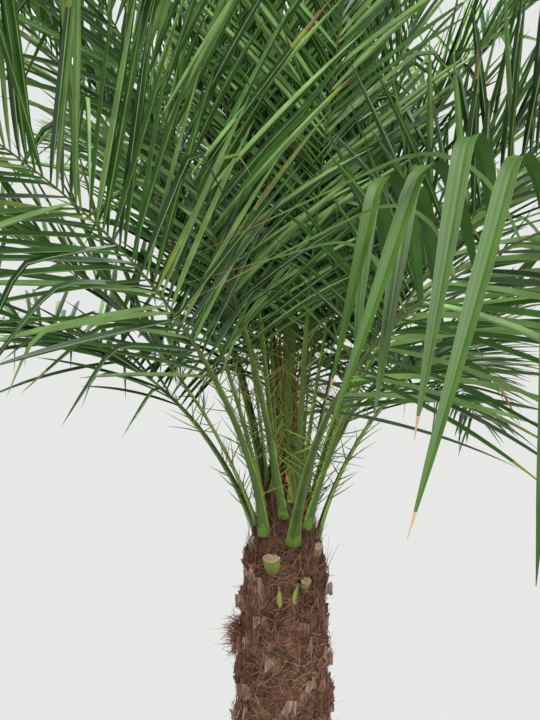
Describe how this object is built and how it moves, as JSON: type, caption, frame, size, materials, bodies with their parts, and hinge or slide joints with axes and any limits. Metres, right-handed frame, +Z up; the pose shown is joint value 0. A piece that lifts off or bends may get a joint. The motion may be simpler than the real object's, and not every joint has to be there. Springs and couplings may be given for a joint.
{
  "type": "potted pygmy date palm",
  "caption": "Feather palm in a round nursery pot: a straight stem wrapped in shaggy old leaf bases under a full crown of arching, spiny-stalked fronds.",
  "frame": {"origin": "centre of the pot's flat underside", "axes": "+Z up along the stem; -Y faces the viewer of the picture, +X to the viewer's right"},
  "size_m": [2.197, 2.3259, 2.4563],
  "materials": {
    "pot_plastic": "satin",
    "potting_mix": "matte",
    "trunk_fibre": "matte",
    "cut_stub": "matte",
    "spear_leaf": "satin",
    "frond_green": "satin"
  },
  "bodies": {
    "root": {"pot": "pot_plastic", "soil": "potting_mix", "trunk": "trunk_fibre", "green_stub_1": "cut_stub", "green_stub_2": "cut_stub", "green_stub_3": "cut_stub", "green_stub_4": "cut_stub", "spear": "spear_leaf", "frond_01": "frond_green", "frond_02": "frond_green", "frond_03": "frond_green", "frond_04": "frond_green", "frond_05": "frond_green", "frond_06": "frond_green", "frond_07": "frond_green", "frond_08": "frond_green", "frond_09": "frond_green", "frond_10": "frond_green", "frond_11": "frond_green", "frond_12": "frond_green", "frond_13": "frond_green", "frond_14": "frond_green", "frond_15": "frond_green", "frond_16": "frond_green", "frond_17": "frond_green", "frond_18": "frond_green", "frond_19": "frond_green", "frond_20": "frond_green", "frond_21": "frond_green", "frond_22": "frond_green", "frond_23": "frond_green", "frond_24": "frond_green", "frond_25": "frond_green", "frond_26": "frond_green"}
  },
  "joints": []
}
